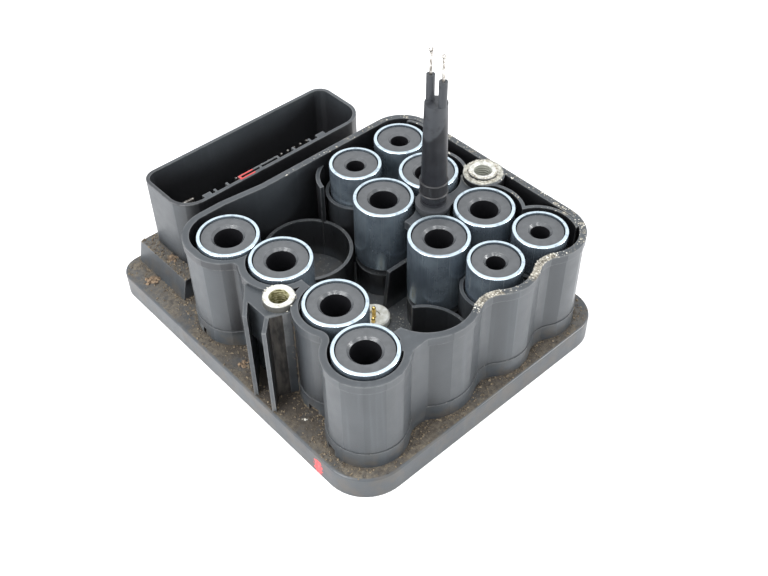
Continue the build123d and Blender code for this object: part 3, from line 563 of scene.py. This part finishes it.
sand_dirt, tree, shader = new_material("road_sand", (0.09, 0.07, 0.05), 0.9)
grain_tone = mottled(tree, 900, 0.34, 0.66, (0.028, 0.021, 0.015), (0.17, 0.135, 0.09), 3.0, 0.7)
tree.links.new(grain_tone, shader.inputs["Base Color"])
add_bump(tree, shader, speckle(tree, 5000, detail=3.0), 0.5, 0.0001)
dice = random.Random(11)
grain_count, wall_grain_count, foot_grain_count = 6500, 260, 110
sand_places = []
while len(sand_places) < grain_count:
    x, y = dice.uniform(-0.046, 0.046), dice.uniform(-0.0555, 0.0555)
    height = surface_below(x, y)
    in_socket = abs(x) < 0.0312 and 0.0337 < y < 0.0522
    if height is None or in_socket:
        continue
    on_plate, on_block = 0.0072 < height < 0.0077, 0.0142 < height < 0.0147
    if not (on_plate or on_block):
        continue
    from_wall = wall_distance(x, y)
    settled = 1.0 if from_wall < 0.0016 else 0.35 if from_wall < 0.0035 else 0.10
    patch = noise.noise(Vector((x * 90, y * 90, 0.3)))
    if dice.random() > settled * (0.75 + patch):
        continue
    size = 0.00016 * (1 + dice.random() ** 3 * 3.2)
    sand_places.append(((x, y, height + size * 0.12), size))
# grime in the upright corner between the left boss and its column
for _ in range(wall_grain_count):
    start = Vector((-0.0500, -0.0265, dice.uniform(0.0085, 0.0362)))
    aim = Vector((-0.0360 + dice.gauss(0, 0.0008), -0.0198 + dice.gauss(0, 0.0003), start.z))
    hit = housing_tree.ray_cast(start, (aim - start).normalized())
    if hit[0]:
        sand_places.append((tuple(hit[0]), dice.uniform(0.00012, 0.00034)))
# a line of grains along the foot of the column in front of the left boss
for _ in range(foot_grain_count):
    start = Vector((-0.046, -0.0200 - 0.0105 * dice.random(), 0.0079))
    foot_place = housing_tree.ray_cast(start, Vector((1, 0, 0)))[0]
    sand_places.append(((foot_place.x - 0.0001, foot_place.y, 0.0077 + dice.gauss(0, 0.00012)),
                        dice.uniform(0.00018, 0.00042)))
finish_piece("sand_grains", scatter(sand_places, dice), sand_dirt)

# Boss wall: the upright wall of the left boss between its front rib and the column, in the housing's own
# plastic but darker. It is moulded with the housing.
darkened_wall_plastic, tree, shader = new_material("darkened_boss_wall", (0.014, 0.0125, 0.0115), 0.85)
shader.inputs["Specular IOR Level"].default_value = 0.2
darkened_wall_tone = mottled(tree, 500, 0.36, 0.68, (0.016, 0.015, 0.015), (0.050, 0.046, 0.041), 5.0,
                     stretch=(1, 1, 0.3))
tree.links.new(darkened_wall_tone, shader.inputs["Base Color"])
add_bump(tree, shader, speckle(tree, 1600, detail=4.0), 0.4, 0.0001)
wall_start, wall_end = Vector((-0.0424, -0.01675, 0)), Vector((-0.0385, -0.01827, 0))
wall_bottom, wall_top, wall_thick = 0.0074, 0.0379, 0.0008
along = wall_end - wall_start
outwards = Vector((along.y, -along.x, 0)).normalized()
middle = (wall_start + wall_end) / 2 - outwards * (wall_thick / 2 - 0.00006)
middle += Vector((0, 0, (wall_bottom + wall_top) / 2))
upright_slab = (Matrix.Translation(middle) @ Matrix.Rotation(atan2(along.y, along.x), 4, "Z")
                @ Matrix.Diagonal((along.length, wall_thick, wall_top - wall_bottom, 1)))
boss_wall = bmesh.new()
bmesh.ops.create_cube(boss_wall, size=1, matrix=upright_slab)
bmesh.ops.bevel(boss_wall, geom=boss_wall.edges[:], offset=0.00012, affect="EDGES", segments=2,
                profile=0.5, material=-1)
finish_piece("boss_wall", boss_wall, darkened_wall_plastic, 40)

# Clods: a few larger lumps of clay and rust that dried on the plate beside the left columns
# and on the block in front of the socket.
clay, tree, shader = new_material("dried_clay", (0.20, 0.11, 0.05), 0.9)
clay_tone = mottled(tree, 1300, 0.34, 0.66, (0.050, 0.034, 0.022), (0.185, 0.130, 0.082), 5.0)
tree.links.new(clay_tone, shader.inputs["Base Color"])
add_bump(tree, shader, speckle(tree, 2600, detail=5.0), 0.7, 0.0002)
# X, Y, height of the surface and spread in millimetres, and the number of lumps
clod_groups = ((-35.3, 41.1, 14.45, 1.6, 46), (-42.1, 44.2, 7.5, 1.8, 50), (-41.8, -1.4, 7.5, 1.3, 30),
               (-41.6, -25.8, 7.5, 0.5, 8))
clod_places = []
for x, y, top, spread, count in clod_groups:
    for _ in range(count):
        size = dice.uniform(0.3, 1.5) * spread / 1.5
        place = (x + dice.gauss(0, spread * 0.42), y + dice.gauss(0, spread * 0.42), top + size * 0.1)
        clod_places.append((tuple(value / 1000 for value in place), size / 1000))
finish_piece("clay_clods", scatter(clod_places, dice, 0.5), clay)

# Chalk crumbs: white corrosion that has crumbled off the bushes lies round them in a ring,
# beige crumbs have dried on along the rim, and a few pale specks lie on the inner floor.
chalk_crumb, tree, shader = new_material("chalk_crumb", (0.42, 0.40, 0.35), 0.85)
chalk_tone = mottled(tree, 1500, 0.34, 0.66, (0.20, 0.18, 0.14), (0.52, 0.51, 0.46), 4.0)
tree.links.new(chalk_tone, shader.inputs["Base Color"])
add_bump(tree, shader, speckle(tree, 3000, detail=3.0), 0.5, 0.0001)
rim_crumb_count, floor_crumb_count = 520, 150
crumb_places = []
for bush, spread_radius, count in (("bush_right", 5.6, 520), ("bush_left", 4.4, 40)):
    low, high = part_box(bush)
    centre_x, centre_y, _ = centre_of(bush)
    edge = (high[0] - low[0]) / 2
    for _ in range(count):
        reach = edge * dice.uniform(0.86, 1.02) + dice.random() ** 2 * (spread_radius / 1000 - edge)
        turn = dice.uniform(0, 2 * pi)
        x, y = centre_x + reach * cos(turn), centre_y + reach * sin(turn)
        height = high[2] if reach < edge else surface_below(x, y)
        if height is None or height < 0.038:
            continue
        size = 0.00022 * (1 + dice.random() ** 2 * 2.0)
        crumb_places.append(((x, y, height + size * 0.1), size))
rim_crumbs = 0
while rim_crumbs < rim_crumb_count:
    x, y = dice.uniform(-0.005, 0.046), dice.uniform(-0.053, 0.024)
    if not (x > 0.036 or y < -0.044 or y > 0.019):
        continue
    height = surface_below(x, y)
    at_neck = y < -0.0455 and (0.0155 < x < 0.0265 or -0.003 < x < 0.0065)
    settled = 1.0 if at_neck else 0.3 if y < -0.044 else 0.12
    if height is None or height < 0.0388 or dice.random() > settled:
        continue
    size = 0.00016 * (1 + dice.random() ** 3 * 2.5)
    crumb_places.append(((x, y, height + size * 0.1), size))
    rim_crumbs += 1
# three larger crumbs on the plate in front of the left boss
for x, y, size in ((-0.0416, -0.0279, 0.00075), (-0.0412, -0.0282, 0.0004), (-0.0420, -0.0273, 0.0003)):
    crumb_places.append(((x, y, surface_below(x, y)), size))
floor_crumbs = 0
while floor_crumbs < floor_crumb_count:
    x, y = dice.gauss(-0.0015, 0.0035), dice.gauss(-0.0215, 0.0055)
    height = surface_below(x, y)
    if height is None or not 0.0094 < height < 0.0100 or y < -0.030:
        continue
    crumb_places.append(((x, y, height), 0.00012 * (1 + dice.random() ** 3 * 2.0)))
    floor_crumbs += 1
finish_piece("chalk_crumbs", scatter(crumb_places, dice), chalk_crumb)
